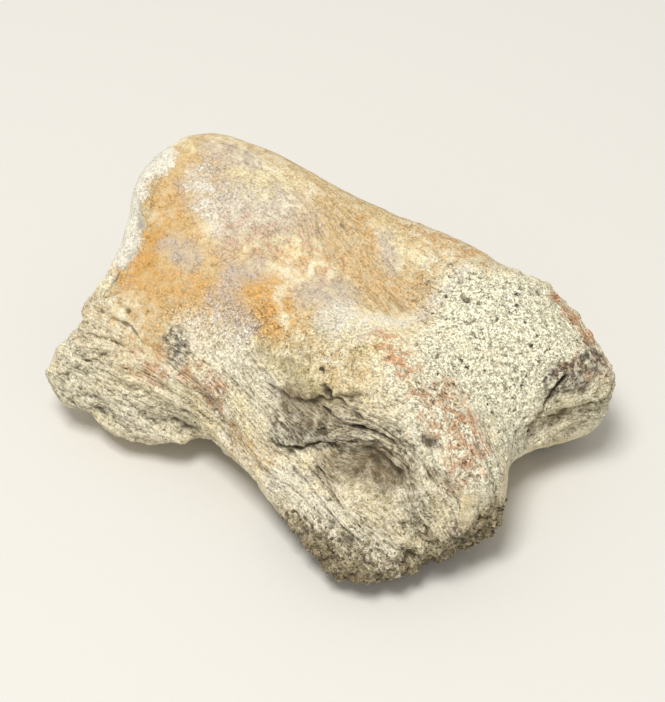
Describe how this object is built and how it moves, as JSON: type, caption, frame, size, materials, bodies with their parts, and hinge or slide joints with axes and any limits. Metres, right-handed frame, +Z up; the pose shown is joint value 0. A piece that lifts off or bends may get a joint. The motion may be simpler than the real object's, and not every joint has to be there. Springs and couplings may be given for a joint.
{
  "type": "fossil toe bone",
  "caption": "Fossil toe bone of a large meat-eating dinosaur, a squat phalanx with a hollow joint face, a pinched shaft and rounded condyles, lying on its underside.",
  "frame": {"origin": "on the ground, under the middle of the bone's box", "axes": "+X along the bone from the hollow joint face to the condyles, +Y away from the side with the deep ligament pit, +Z up"},
  "size_m": [0.082, 0.0578, 0.0371],
  "materials": {
    "fossil_bone": "dry, mineralised bone: matt cream and ochre with grey and rusty stains, smooth on top, porous and sandy where it is worn"
  },
  "bodies": {
    "root": {"toe_bone": "fossil_bone"}
  },
  "joints": []
}
